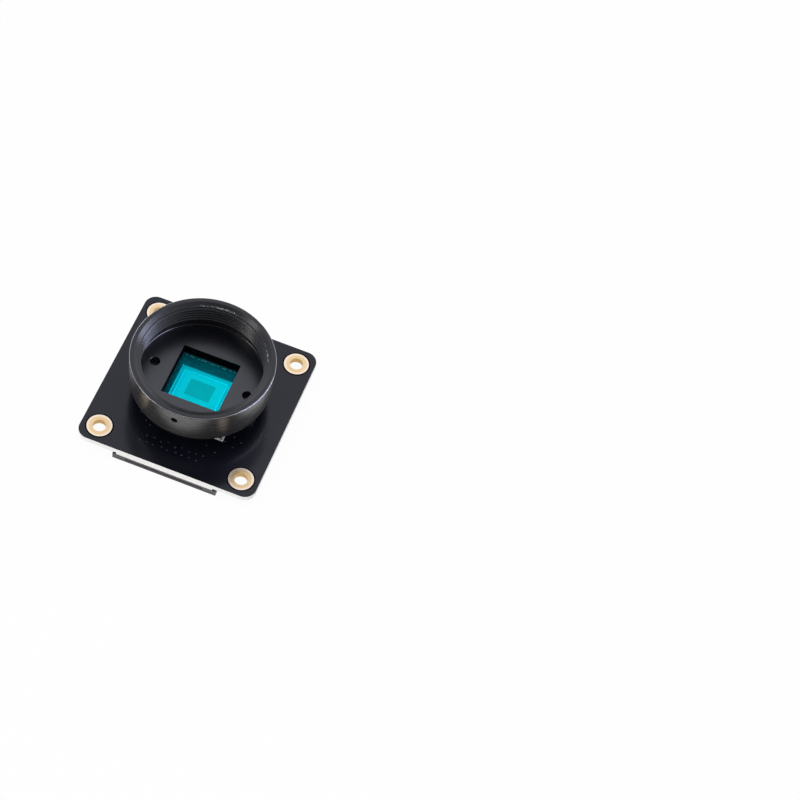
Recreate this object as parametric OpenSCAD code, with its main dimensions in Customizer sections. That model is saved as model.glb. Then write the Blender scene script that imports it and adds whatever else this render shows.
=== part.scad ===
// Board camera module: a square circuit board that carries an image sensor under a black
// lens mount, and a flat cable connector with a sliding latch under its front edge.
// Origin: on the optical axis, at the top face of the board. +Z points out of the lens mount,
// -Y points to the edge with the cable connector.

/* [Board] */
// Width of the board along X
board_w = 38; // [36:0.5:50]
// Depth of the board along Y
board_d = 38; // [36:0.5:50]
// Thickness of the board
board_t = 1.2; // [0.8:0.1:2]
// Radius of the board's corners
board_corner_r = 2.5; // [0.5:0.1:3.5]
// Distance from each edge to the centres of the fixing holes
hole_inset = 3.75; // [3.2:0.05:4.2]
// Clear diameter of the fixing holes
hole_d = 2.75; // [2.2:0.05:3.2]
// Wall of the plating inside the fixing holes
plating_t = 0.1; // [0.05:0.01:0.15]
// Outer diameter of the gold pads round the fixing holes
pad_d = 5.15; // [4.4:0.05:6]
// Height of the gold pads above the board
pad_t = 0.05; // [0.03:0.01:0.1]
// Width of the printed line round the lens mount
print_line_w = 0.5; // [0.2:0.05:0.8]
// Thickness of the printed ink
print_t = 0.04; // [0.02:0.01:0.08]

/* [Lens mount] */
// Height of the mount's lip above the board
mount_h = 13.2; // [12.8:0.05:14]
// Height of the round barrel, from its lower edge to the lip
barrel_h = 8; // [7.5:0.05:8.5]
// Wall of the barrel outside the lens thread
barrel_wall = 1.93; // [1.6:0.01:3]
// How much the barrel narrows towards its lower edge, on the radius
barrel_draft = 0.28; // [0:0.01:0.5]
// Radial width of the bevel at the barrel's lower edge
barrel_foot_bevel = 0.25; // [0.1:0.01:0.4]
// Bevel on the outer edge of the lip
lip_bevel = 0.2; // [0.05:0.01:0.35]
// Major diameter of the lens thread
thread_d = 25.4; // [25:0.1:27]
// Turns of the lens thread to the inch
thread_tpi = 32; // [28:1:40]
// Number of thread crests in the bore
thread_crests = 5; // [3:1:5]
// Radial width of the lead-in cone above the thread
lead_in = 0.85; // [0.5:0.05:1]
// Depth of the lead-in cone below the lip
lead_in_h = 0.5; // [0.35:0.05:0.7]
// Flat rim left between the lead-in cone and the thread
lead_in_rim = 0.15; // [0.05:0.05:0.2]
// Depth of the first thread crest below the lip
thread_depth = 1; // [1:0.05:1.15]
// How much wider the relief groove is than the thread, on the radius
relief = 0.3; // [0.1:0.01:0.4]
// Depth of the inner floor below the lip
floor_depth = 7.35; // [6.8:0.05:7.6]
// Height of the step between the inner floor and the relief groove
floor_step = 0.45; // [0.2:0.05:0.6]
// Bevel on the top edge of that step
floor_rim = 0.12; // [0.05:0.01:0.2]
// Thickness of the floor plate outside the base
plate_t = 1.45; // [1.2:0.05:1.8]
// Side of the square window in the floor
window_w = 12.3; // [11:0.1:13]
// Width of the ledge that the filter is glued under
filter_ledge = 0.7; // [0.4:0.05:1]
// Wall of the square base round the filter pocket
base_wall = 1.15; // [1:0.05:2]
// Radius of the base's corners
base_corner_r = 1; // [0.4:0.1:2]
// Distance between the two screws that hold the mount
screw_spacing = 20; // [19.5:0.1:22]
// Radius of the round ears that take those screws
ear_r = 2.2; // [1.9:0.05:2.4]

/* [Screws] */
// Thread diameter of the mount screws
screw_d = 2; // [1.6:0.1:2.3]
// Length of the mount screws under the head
screw_l = 5; // [4:0.5:6.5]
// Diameter of the screw heads
screw_head_d = 3.8; // [3.2:0.1:4.2]
// Height of the screw heads
screw_head_h = 1.4; // [1:0.1:1.8]
// Countersink where the screw holes meet the floor
screw_hole_bevel = 0.05; // [0.03:0.01:0.25]
// Diameter of the screw that locks the lens
lock_d = 1.4; // [1.2:0.1:1.8]
// Length of the lens locking screw
lock_l = 1.2; // [0.9:0.1:1.3]
// Depth of the lens locking screw below the lip
lock_depth = 2.45; // [2.2:0.05:3.2]
// Width across flats of the locking screw's hexagon socket
lock_socket = 0.7; // [0.5:0.05:0.8]
// Radial gap round every screw in its hole
screw_gap = 0.02; // [0.01:0.01:0.03]

/* [Filter and sensor] */
// Thickness of the infrared filter
filter_t = 1.05; // [0.7:0.05:1.2]
// Gap between the filter's edge and its pocket
filter_gap = 0.15; // [0.1:0.05:0.3]
// Thickness of the glue between the filter and its ledge
glue_t = 0.1; // [0.05:0.01:0.2]
// How far the glue is squeezed out into the window
glue_bead = 0.08; // [0.05:0.01:0.3]
// Height of the filter's top face above the board
filter_z = 3.3; // [3.1:0.05:3.8]
// Width of the sensor package along X
package_w = 10.9; // [10.4:0.1:12]
// Depth of the sensor package along Y
package_d = 8.6; // [8:0.1:10]
// Height of the ceramic package
package_h = 1.25; // [1.1:0.05:1.4]
// Width of the package's rim round the die
package_rim = 0.7; // [0.5:0.05:0.9]
// Thickness of the package's ceramic floor
package_floor = 0.5; // [0.3:0.05:0.6]
// Thickness of the sensor's cover glass
cover_t = 0.5; // [0.3:0.05:0.6]
// How far the cover glass stands back from the package's sides
cover_inset = 0.05; // [0.02:0.01:0.2]
// Width of the silicon die along X
die_w = 8.9; // [8:0.1:9.2]
// Depth of the silicon die along Y
die_d = 6.5; // [6:0.1:7]
// Thickness of the silicon die
die_t = 0.55; // [0.3:0.05:0.55]
// Width of the light-sensitive area along X
pixels_w = 5.4; // [4.8:0.1:6.4]
// Depth of the light-sensitive area along Y
pixels_d = 4.1; // [3.6:0.1:4.8]
// Thickness of the microlens layer
pixels_t = 0.03; // [0.02:0.01:0.04]

/* [Cable connector] */
// Sideways place of the connector's centre
conn_x = 0.35; // [-2:0.05:2]
// Number of contacts
contact_count = 15; // [11:1:16]
// Distance between contacts
contact_pitch = 1; // [0.8:0.05:1]
// Depth of the connector's housing along Y
housing_d = 4.7; // [4.4:0.1:6]
// Height of the connector's housing
housing_h = 2.6; // [2.5:0.05:3]
// Thickness of the housing's end walls
housing_end = 2; // [1.8:0.1:2.6]
// Thickness of the housing's roof, which reaches over the latch to the board's edge
housing_roof = 0.55; // [0.4:0.05:0.6]
// Thickness of the housing's wall under the cable
housing_sole = 0.65; // [0.5:0.05:0.7]
// Thickness of the housing's back wall
housing_back = 1.1; // [0.8:0.1:1.4]
// Depth of the latch's front bar along Y
latch_bar_d = 1; // [0.8:0.1:1.4]
// Height of the latch's front bar
latch_bar_h = 1.5; // [1.4:0.05:1.6]
// Thickness of the latch's tongue, which presses on the cable
tongue_t = 0.5; // [0.4:0.05:0.6]
// Length of the latch's tongue
tongue_l = 2.9; // [2.2:0.1:3]
// Thickness of the flat cable that the connector takes
cable_t = 0.3; // [0.2:0.05:0.35]
// Thickness of the latch's side arms
arm_t = 0.7; // [0.5:0.05:0.9]
// Length of the latch's side arms
arm_l = 2.3; // [2.1:0.1:2.4]
// How much lower the arms are than the bar, at the top and at the bottom
arm_drop = 0.15; // [0.1:0.05:0.2]
// Length of the hooks on the arms
hook_l = 0.5; // [0.4:0.05:0.6]
// How far the hooks reach into the housing
hook_depth = 0.45; // [0.35:0.05:0.5]
// Width and depth of the grip groove along the latch's front
grip_w = 0.15; // [0.1:0.01:0.2]
// How far the latch slides out to free the cable
latch_travel = 1; // [0.6:0.1:1.2]
// Running gap round the latch
latch_gap = 0.1; // [0.05:0.01:0.12]
// Width of each contact
contact_w = 0.3; // [0.2:0.02:0.4]
// Thickness of the contact metal
contact_t = 0.15; // [0.1:0.01:0.18]
// Length of the contacts' soldered feet behind the housing
contact_foot = 0.9; // [0.6:0.1:1.2]
// Length of the contacts' springy beams in the slot
beam_l = 2.2; // [1.8:0.1:2.4]
// Width of the solder tabs at the housing's ends
tab_w = 1.3; // [1:0.1:1.6]
// Length of the solder tabs' feet
tab_foot = 0.9; // [0.6:0.1:1.2]
// Height of the solder tabs on the housing's ends
tab_h = 1; // [0.6:0.1:1.4]
// Thickness of the solder tabs
tab_t = 0.2; // [0.1:0.05:0.25]

/* [Underside parts] */
// Side of the image processor
chip_w = 8; // [7:0.1:8.4]
// Height of the image processor
chip_h = 0.85; // [0.7:0.05:1.1]
// Side of the power inductors
coil_w = 4; // [3.4:0.1:4.4]
// Height of the power inductors
coil_h = 2.6; // [2:0.05:3]
// Distance from the back edge to the middle of the power parts
power_inset = 4.6; // [4.2:0.1:6]
// How far the image processor sits behind the optical axis
chip_y = 2; // [1:0.25:3]
// Clear space between the larger parts
part_clear = 1.2; // [1:0.05:1.25]
// Distance between neighbours in a row of small parts
part_step = 1.3; // [1:0.05:1.4]
// Distance from the sides of the board to the outer columns of parts
side_inset = 5.6; // [5.2:0.1:5.8]
// Length of the memory chip's body
memory_l = 4.9; // [4.4:0.1:5.2]
// Width of the memory chip's body
memory_w = 3.9; // [3.6:0.1:4.1]
// Height of the memory chip
memory_h = 1.5; // [1.2:0.05:1.7]
// Length of the clock oscillator
clock_l = 3.2; // [2.6:0.1:3.6]
// Width of the clock oscillator
clock_w = 2.5; // [2:0.1:2.8]
// Height of the clock oscillator
clock_h = 0.9; // [0.7:0.05:1.2]
// Length of each voltage regulator's body
reg_l = 2.9; // [2.6:0.05:3.1]
// Width of each voltage regulator's body
reg_w = 1.6; // [1.4:0.05:1.8]
// Height of each voltage regulator
reg_h = 1.1; // [0.9:0.05:1.3]
// Length of the larger capacitors
cap_l = 1.6; // [1.4:0.05:1.7]
// Width and height of the larger capacitors
cap_w = 0.8; // [0.6:0.05:0.85]
// Length of the small capacitors and the resistors
small_l = 1; // [0.8:0.05:1.05]
// Width of the small capacitors and the resistors
small_w = 0.5; // [0.4:0.02:0.55]
// Height of the resistors
resistor_h = 0.35; // [0.25:0.05:0.45]
// Length of the metal caps on the small parts
cap_end = 0.28; // [0.15:0.01:0.3]
// Length of the chips' legs outside their bodies
leg_l = 1; // [0.8:0.05:1.1]
// Thickness of the chips' legs
leg_t = 0.16; // [0.1:0.01:0.2]
// Width of the chips' legs
leg_w = 0.42; // [0.3:0.02:0.5]
// Distance between the memory chip's legs
memory_pitch = 1.27; // [1:0.01:1.3]
// Distance between the voltage regulators' legs
reg_pitch = 0.95; // [0.8:0.05:1.1]
// Gap under the bodies of the chips with legs
chip_lift = 0.1; // [0.05:0.01:0.15]
// Radius of the round mark moulded beside pin 1
dimple_r = 0.3; // [0.15:0.05:0.4]
// Depth of that mark
dimple_d = 0.07; // [0.03:0.01:0.1]

/* [Hidden] */
$fn = 96;
e = 1; // overshoot of a cut past the face that it opens

// Board
under = -board_t;
hole_x = board_w / 2 - hole_inset;
hole_y = board_d / 2 - hole_inset;

// Lens mount
thread_r = thread_d / 2;
pitch = 25.4 / thread_tpi;
crest_r = thread_r - 0.54127 * pitch;
crest_w = pitch / 4;
root_w = pitch / 8;
flank_w = (pitch - crest_w - root_w) / 2;
thread_z = mount_h - thread_depth;
thread_end_z = thread_z - (thread_crests - 1) * pitch - crest_w;
barrel_r = thread_r + barrel_wall;
barrel_z = mount_h - barrel_h;
relief_r = thread_r + relief;
floor_z = mount_h - floor_depth;
floor_r = relief_r - floor_rim;
plate_z = floor_z - plate_t;
pocket_w = window_w + 2 * filter_ledge;
base_w = pocket_w + 2 * base_wall;
screw_x = screw_spacing / 2;
lock_z = mount_h - lock_depth;
lock_y = -thread_r - 0.1;

// Filter and sensor
filter_w = pocket_w - 2 * filter_gap;
pocket_z = filter_z + glue_t;
die_z = package_floor + die_t;

// Cable connector, drawn about its own centre line
slot_w = (contact_count + 1.2) * contact_pitch + 0.4;
housing_w = slot_w + 2 * housing_end;
latch_w = housing_w + 2 * (arm_t + latch_gap);
latch_front = -board_d / 2;
latch_back = latch_front + latch_bar_d;
housing_front = latch_back + latch_gap;
housing_rear = housing_front + housing_d;
housing_z = under - housing_h;
slot_top = under - housing_roof;
slot_bottom = housing_z + housing_sole;
latch_top = slot_top - latch_gap;
tongue_bottom = latch_top - tongue_t;
slot_back = housing_rear - housing_back;
slit_h = cable_t + latch_gap;
arm_h = latch_bar_h - 2 * arm_drop;
arm_top = latch_top - arm_drop;
hook_front = latch_back + arm_l - hook_l;
channel_front = hook_front - latch_travel - latch_gap;
beam_top = tongue_bottom - cable_t - latch_gap / 2;

// Underside parts, each as [x, y, turn]
power_y = board_d / 2 - power_inset;
power_cap_x = hole_x - pad_d / 2 - part_clear - cap_w / 2;
coil_x = power_cap_x - cap_w / 2 - part_clear - coil_w / 2;
side_x = board_w / 2 - side_inset;
beside_chip = chip_w / 2 + small_l + 2 * part_clear;
memory_at = [beside_chip + memory_l / 2, screw_head_d / 2 + part_clear + leg_l + memory_w / 2];
clock_at = [-beside_chip - clock_l / 2, memory_at[1]];
reg_x = reg_l / 2 + part_clear;
reg_at = [[-reg_x, power_y, 0], [reg_x, power_y, 0], [-side_x, memory_at[1], 90]];
cap_at = concat(
    [for (s = [-1, 1], i = [0 : 3]) [(i - 1.5) * (cap_w + part_clear),
        chip_y + s * (chip_w / 2 + part_clear + cap_l / 2), 90]],
    [for (s = [-1, 1]) [s * power_cap_x, power_y, 90]]);
small_cap_at = concat(
    [for (s = [-1, 1], i = [0 : 4]) [s * (chip_w / 2 + part_clear + small_l / 2),
        chip_y + (i - 2) * part_step, 0]],
    [for (i = [0 : 2]) [-side_x + (i - 1) * part_step,
        memory_at[1] - reg_l / 2 - part_clear - small_l / 2, 90]]);
resistor_at = concat(
    [for (i = [0 : 9]) [(i - 4.5) * part_step,
        housing_rear + contact_foot + part_clear + small_l / 2, 90]],
    [for (i = [0 : 3]) [side_x, memory_at[1] + (i - 1.5) * part_step, 0]]);

// ---------------------------------------------------------------- shared shapes

// A block centred on the origin in X and Y, standing on z = 0
module block(w, d, h) {
    translate([-w / 2, -d / 2, 0]) cube([w, d, h]);
}

// A block between two heights
module slab(w, d, z0, z1) {
    translate([0, 0, z0]) block(w, d, z1 - z0);
}

// A plate with round corners, standing on z = 0
module round_plate(w, d, h, r) {
    block(w - 2 * r, d, h);
    block(w, d - 2 * r, h);
    for (x = [-1, 1], y = [-1, 1])
        translate([x * (w / 2 - r), y * (d / 2 - r), 0]) cylinder(r = r, h = h);
}

// A square tube between two heights
module square_ring(outer_w, outer_d, inner_w, inner_d, z0, z1) {
    difference() {
        slab(outer_w, outer_d, z0, z1);
        slab(inner_w, inner_d, z0 - e, z1 + e);
    }
}

module at_fixing_holes() {
    for (x = [-1, 1], y = [-1, 1]) translate([x * hole_x, y * hole_y, 0]) children();
}

module at_mount_screws() {
    for (x = [-1, 1]) translate([x * screw_x, 0, 0]) children();
}

// Puts a part that is drawn standing up onto the board's underside
module under_board(place) {
    translate([place[0], place[1], under]) rotate([0, 0, place[2]]) mirror([0, 0, 1]) children();
}

// ---------------------------------------------------------------- board

module circuit_board() {
    color([0.05, 0.055, 0.07])
    difference() {
        translate([0, 0, under]) round_plate(board_w, board_d, board_t, board_corner_r);
        at_fixing_holes() translate([0, 0, under - e])
            cylinder(d = hole_d + 2 * plating_t, h = board_t + 2 * e);
        at_mount_screws() translate([0, 0, under - e])
            cylinder(d = screw_d + 0.2, h = board_t + 2 * e);
    }
}

// Plated rivets: a pad on each face, joined by the plating of the hole
module fixing_hole_pads() {
    color([0.85, 0.66, 0.36])
    at_fixing_holes() difference() {
        union() {
            cylinder(d = pad_d, h = pad_t);
            translate([0, 0, under]) cylinder(d = hole_d + 2 * plating_t, h = board_t);
            translate([0, 0, under - pad_t]) cylinder(d = pad_d, h = pad_t);
        }
        translate([0, 0, under - e]) cylinder(d = hole_d, h = board_t + 2 * e);
    }
}

// White printed square that shows where the mount goes, open at the mount's ears
module printed_outline() {
    inner = base_w + 0.2;
    outer = inner + 2 * print_line_w;
    color("white")
    difference() {
        square_ring(outer, outer, inner, inner, 0, print_t);
        at_mount_screws() translate([0, 0, -e]) cylinder(r = ear_r + 0.15, h = 2 * e);
        slab(screw_spacing, 2 * ear_r + 0.3, -e, e);
    }
}

// ---------------------------------------------------------------- lens mount

// Section of the barrel and its floor plate, from the axis outwards
module barrel_section() {
    thread = [for (i = [0 : thread_crests - 1], p = [
        [crest_r, 0], [crest_r, -crest_w],
        [thread_r, -crest_w - flank_w], [thread_r, -crest_w - flank_w - root_w]])
        if (i < thread_crests - 1 || p[0] == crest_r) [p[0], thread_z - i * pitch + p[1]]];
    foot_r = barrel_r - barrel_draft - barrel_foot_bevel;
    polygon(concat(
        [[0, plate_z], [foot_r - (barrel_z - plate_z), plate_z], [foot_r, barrel_z],
         [barrel_r - barrel_draft, barrel_z + 3 * barrel_foot_bevel],
         [barrel_r, mount_h - lip_bevel], [barrel_r - lip_bevel, mount_h],
         [thread_r + lead_in_rim + lead_in, mount_h],
         [thread_r + lead_in_rim, mount_h - lead_in_h], [thread_r, mount_h - lead_in_h],
         [thread_r, thread_z + flank_w]],
        thread,
        [[relief_r, thread_end_z - relief_r + crest_r],
         [relief_r, floor_z + floor_step + floor_rim],
         [floor_r, floor_z + floor_step], [floor_r, floor_z], [0, floor_z]]));
}

module lens_mount() {
    color([0.09, 0.09, 0.1])
    difference() {
        union() {
            rotate_extrude($fn = 180) barrel_section();
            round_plate(base_w, base_w, plate_z + 0.2, base_corner_r);
            at_mount_screws() cylinder(r = ear_r, h = plate_z + 0.2);
            slab(screw_spacing, 2 * ear_r, 0, plate_z + 0.2);
        }
        slab(window_w, window_w, pocket_z - e, floor_z + e);
        slab(pocket_w, pocket_w, -e, pocket_z);
        at_mount_screws() {
            translate([0, 0, -e]) cylinder(r = screw_d / 2 + screw_gap, h = floor_z + 2 * e);
            translate([0, 0, floor_z - screw_hole_bevel])
                cylinder(r1 = screw_d / 2 + screw_gap,
                    r2 = screw_d / 2 + screw_gap + 2 * screw_hole_bevel, h = 2 * screw_hole_bevel);
        }
        translate([0, 0, lock_z]) rotate([90, 0, 0])
            translate([0, 0, thread_r - 2]) cylinder(d = lock_d + 2 * screw_gap, h = 6);
    }
}

// Two pan-head screws that come up through the board into the mount's ears
module mount_screws() {
    head_r = screw_head_d / 2;
    color("silver")
    at_mount_screws() difference() {
        union() {
            translate([0, 0, under]) cylinder(d = screw_d, h = screw_l);
            translate([0, 0, under - screw_head_h]) rotate_extrude()
                polygon([[0, 0], [head_r - 0.5, 0], [head_r - 0.15, 0.15], [head_r, 0.5],
                    [head_r, screw_head_h], [0, screw_head_h]]);
        }
        for (turn = [0, 90]) translate([0, 0, under - screw_head_h - e]) rotate([0, 0, turn])
            block(screw_head_d * 0.55, 0.4, 0.8 + e);
    }
}

// Grub screw in the barrel's wall
module lens_lock_screw() {
    color([0.2, 0.2, 0.21])
    translate([0, lock_y, lock_z]) rotate([90, 0, 0]) difference() {
        cylinder(d = lock_d, h = lock_l, $fn = 48);
        translate([0, 0, lock_l / 2]) cylinder(d = lock_socket / cos(30), h = lock_l, $fn = 6);
    }
}

// ---------------------------------------------------------------- filter and sensor

module infrared_filter() {
    color([0.1, 0.75, 0.8, 0.45]) slab(filter_w, filter_w, filter_z - filter_t, filter_z);
}

// Frame of clear glue between the filter and its ledge
module filter_glue() {
    inner = window_w - 2 * glue_bead;
    color([0.8, 0.85, 0.85])
        square_ring(filter_w, filter_w, inner, inner, filter_z, pocket_z);
}

module sensor_package() {
    color([0.85, 0.85, 0.82])
    difference() {
        slab(package_w, package_d, 0, package_h);
        slab(package_w - 2 * package_rim, package_d - 2 * package_rim, package_floor,
            package_h + e);
    }
}

module sensor_die() {
    color([0.6, 0.65, 0.68]) slab(die_w, die_d, package_floor, die_z);
}

module sensor_microlenses() {
    color([0.15, 0.4, 0.4]) slab(pixels_w, pixels_d, die_z, die_z + pixels_t);
}

module sensor_cover_glass() {
    color([0.8, 0.95, 0.95, 0.4])
        slab(package_w - 2 * cover_inset, package_d - 2 * cover_inset, package_h,
            package_h + cover_t);
}

// ---------------------------------------------------------------- cable connector

// The housing opens towards the front edge, under a roof that covers the latch. Its ends have
// a channel for the latch's hooks, and its back wall has one slot for each contact.
module connector_housing() {
    color([0.9, 0.88, 0.82])
    translate([conn_x, 0, 0]) difference() {
        union() {
            translate([-housing_w / 2, housing_front, housing_z])
                cube([housing_w, housing_d, housing_h]);
            translate([-housing_w / 2, latch_front, slot_top])
                cube([housing_w, housing_rear - latch_front, housing_roof]);
        }
        translate([-slot_w / 2, housing_front - e, slot_bottom])
            cube([slot_w, slot_back - housing_front + e, slot_top - slot_bottom]);
        for (s = [0, 1]) mirror([s, 0, 0])
            translate([housing_w / 2 - hook_depth - latch_gap, channel_front,
                    arm_top - arm_h - latch_gap])
                cube([hook_depth + e, hook_front + hook_l + latch_gap - channel_front,
                    arm_h + 2 * latch_gap]);
        for (i = [0 : contact_count - 1])
            translate([contact_at(i) - contact_w / 2 - 0.02, slot_back - e / 2, slot_bottom])
                cube([contact_w + 0.04, housing_back + e, housing_h]);
    }
}

function contact_at(i) = (i - (contact_count - 1) / 2) * contact_pitch;

// Sliding bar with a tapered tongue above the slit for the cable, and two hooked arms
module connector_latch() {
    bar_z = latch_top - latch_bar_h;
    tongue_w = slot_w - 2 * latch_gap;
    color([0.13, 0.13, 0.14])
    translate([conn_x, 0, 0]) {
        difference() {
            translate([-latch_w / 2, latch_front, bar_z])
                cube([latch_w, latch_bar_d, latch_bar_h]);
            // slit for the cable
            translate([-slot_w / 2, latch_front - e, tongue_bottom - slit_h])
                cube([slot_w, latch_bar_d + 2 * e, slit_h]);
            // grip groove along the front face, in the middle of the lip under the slit
            translate([-latch_w / 2 + arm_t, latch_front - e,
                    (bar_z + tongue_bottom - slit_h - grip_w) / 2])
                cube([latch_w - 2 * arm_t, e + grip_w, grip_w]);
        }
        translate([-tongue_w / 2, 0, 0]) rotate([90, 0, 90]) linear_extrude(tongue_w)
            polygon([[latch_back - 0.2, latch_top],
                [latch_back + latch_gap + tongue_l, latch_top],
                [latch_back + latch_gap + tongue_l, latch_top - tongue_t / 2],
                [latch_back + latch_gap + tongue_l - 0.8, tongue_bottom],
                [latch_back - 0.2, tongue_bottom]]);
        for (s = [0, 1]) mirror([s, 0, 0]) {
            translate([latch_w / 2 - arm_t, latch_back - 0.2, arm_top - arm_h])
                cube([arm_t, arm_l + 0.2, arm_h]);
            translate([latch_w / 2 - arm_t - latch_gap - hook_depth, hook_front,
                    arm_top - arm_h])
                cube([hook_depth + latch_gap + arm_t, hook_l, arm_h]);
        }
    }
}

// Each contact has a springy beam in the slot, a riser in the back wall and a soldered foot
module connector_contacts() {
    color([0.82, 0.72, 0.45])
    for (i = [0 : contact_count - 1])
        translate([conn_x + contact_at(i) - contact_w / 2, 0, 0]) {
            translate([0, slot_back - beam_l, beam_top - contact_t])
                cube([contact_w, beam_l + housing_back, contact_t]);
            translate([0, housing_rear - contact_t, beam_top - contact_t])
                cube([contact_w, contact_t, under - beam_top + contact_t]);
            translate([0, housing_rear - contact_t, under - contact_t])
                cube([contact_w, contact_foot + contact_t, contact_t]);
        }
}

// Soldered tabs that hold the ends of the housing
module connector_tabs() {
    color("silver")
    translate([conn_x, 0, 0]) for (s = [0, 1]) mirror([s, 0, 0])
        translate([housing_w / 2, housing_rear - tab_w - tab_t, under]) {
            translate([0, 0, -tab_h]) cube([tab_t, tab_w, tab_h]);
            translate([0, 0, -tab_t]) cube([tab_t + tab_foot, tab_w, tab_t]);
        }
}

// ---------------------------------------------------------------- underside parts

// One side view of a moulded chip body, drawn out across it: two tapered halves on the
// straight band that the legs come out of
module body_profile(w, d, h) {
    half = h / 2 - leg_t;
    slope = half / 4;
    rotate([90, 0, 0]) translate([0, 0, -d / 2]) linear_extrude(d)
        polygon([[slope - w / 2, 0], [w / 2 - slope, 0], [w / 2, half], [w / 2, h - half],
            [w / 2 - slope, h], [slope - w / 2, h], [-w / 2, h - half], [-w / 2, half]]);
}

module chip_body(w, d, h) {
    intersection() {
        body_profile(w, d, h);
        rotate([0, 0, 90]) body_profile(d, w, h);
    }
}

module image_processor() {
    color([0.1, 0.1, 0.11])
    under_board([0, chip_y, 0]) difference() {
        block(chip_w, chip_w, chip_h);
        translate([3 * dimple_r - chip_w / 2, chip_w / 2 - 3 * dimple_r, chip_h - dimple_d])
            cylinder(r = dimple_r, h = e, $fn = 32);
    }
}

module memory_chip() {
    color([0.1, 0.1, 0.11])
    under_board([memory_at[0], memory_at[1], 0]) difference() {
        translate([0, 0, chip_lift]) chip_body(memory_l, memory_w, memory_h - chip_lift);
        translate([3 * dimple_r - memory_l / 2, 3 * dimple_r - memory_w / 2, memory_h - dimple_d])
            cylinder(r = dimple_r, h = e, $fn = 32);
    }
}

module voltage_regulators() {
    color([0.1, 0.1, 0.11])
    for (place = reg_at) under_board(place)
        translate([0, 0, chip_lift]) chip_body(reg_l, reg_w, reg_h - chip_lift);
}

// One bent leg: shoulder out of the body, riser, and foot on the board
module chip_leg(shoulder_z) {
    bend = leg_l * 0.45;
    translate([leg_w / 2, 0, 0]) rotate([0, -90, 0]) linear_extrude(leg_w)
        polygon([[shoulder_z, 0], [shoulder_z, bend], [leg_t, bend + leg_t], [leg_t, leg_l],
            [0, leg_l], [0, bend], [shoulder_z - leg_t, bend - leg_t], [shoulder_z - leg_t, 0]]);
}

module chip_legs() {
    color("silver") {
        under_board([memory_at[0], memory_at[1], 0])
            for (s = [0, 180], i = [0 : 3]) rotate([0, 0, s])
                translate([(i - 1.5) * memory_pitch, memory_w / 2, 0])
                    chip_leg((memory_h + chip_lift + leg_t) / 2);
        for (place = reg_at) under_board(place) {
            for (i = [-1 : 1]) translate([i * reg_pitch, reg_w / 2, 0])
                chip_leg((reg_h + chip_lift + leg_t) / 2);
            for (i = [-1, 1]) rotate([0, 0, 180]) translate([i * reg_pitch, reg_w / 2, 0])
                chip_leg((reg_h + chip_lift + leg_t) / 2);
        }
    }
}

module clock_oscillator() {
    color([0.75, 0.73, 0.68])
    under_board([clock_at[0], clock_at[1], 0]) block(clock_l, clock_w, clock_h * 0.6);
}

module clock_lid() {
    color("silver")
    under_board([clock_at[0], clock_at[1], 0]) translate([0, 0, clock_h * 0.6])
        round_plate(clock_l - 0.3, clock_w - 0.3, clock_h * 0.4, 0.25, $fn = 32);
}

module at_inductors() {
    for (s = [-1, 1]) under_board([s * coil_x, power_y, 0]) children();
}

// Shielded inductors: a square ferrite body with cut corners and a round dimple on top
module power_inductors() {
    color([0.2, 0.2, 0.2])
    at_inductors() difference() {
        translate([0, 0, coil_h * 0.18]) intersection() {
            block(coil_w, coil_w, coil_h * 0.82);
            rotate([0, 0, 45]) block(coil_w * 1.2, coil_w * 1.2, coil_h);
        }
        translate([0, 0, coil_h - 0.15]) cylinder(d = coil_w * 0.5, h = e, $fn = 48);
    }
}

module inductor_bases() {
    color("silver")
    at_inductors() for (s = [-1, 1]) translate([s * coil_w * 0.34, 0, 0])
        block(coil_w * 0.28, coil_w * 0.7, coil_h * 0.18);
}

// The middle of a two-ended part, between its metal caps
module part_middle(l, w, h) {
    block(l - 2 * cap_end, w, h);
}

module part_caps(l, w, h) {
    for (s = [-1, 1]) translate([s * (l - cap_end) / 2, 0, 0]) block(cap_end, w + 0.04, h + 0.02);
}

module capacitors() {
    color([0.72, 0.6, 0.45]) for (place = cap_at) under_board(place) part_middle(cap_l, cap_w, cap_w);
}

module small_capacitors() {
    color([0.66, 0.54, 0.4])
        for (place = small_cap_at) under_board(place) part_middle(small_l, small_w, small_w);
}

module resistors() {
    color([0.12, 0.12, 0.13])
        for (place = resistor_at) under_board(place) part_middle(small_l, small_w, resistor_h);
}

module part_end_caps() {
    color("silver") {
        for (place = cap_at) under_board(place) part_caps(cap_l, cap_w, cap_w);
        for (place = small_cap_at) under_board(place) part_caps(small_l, small_w, small_w);
        for (place = resistor_at) under_board(place) part_caps(small_l, small_w, resistor_h);
    }
}

circuit_board();
fixing_hole_pads();
printed_outline();
lens_mount();
mount_screws();
lens_lock_screw();
infrared_filter();
filter_glue();
sensor_package();
sensor_die();
sensor_microlenses();
sensor_cover_glass();
connector_housing();
connector_latch();
connector_contacts();
connector_tabs();
image_processor();
memory_chip();
clock_oscillator();
clock_lid();
voltage_regulators();
chip_legs();
power_inductors();
inductor_bases();
capacitors();
small_capacitors();
resistors();
part_end_caps();
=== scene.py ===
"""Looks of the board camera module: materials for the CAD nodes, the small details that ride on
them (bumps over the vias, gaps round the pads, seal, glue, bond wires, solder, tracks and print),
the camera, the floor and the lights. All sizes are in metres."""
import math

import bpy
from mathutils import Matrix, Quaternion, Vector


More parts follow.
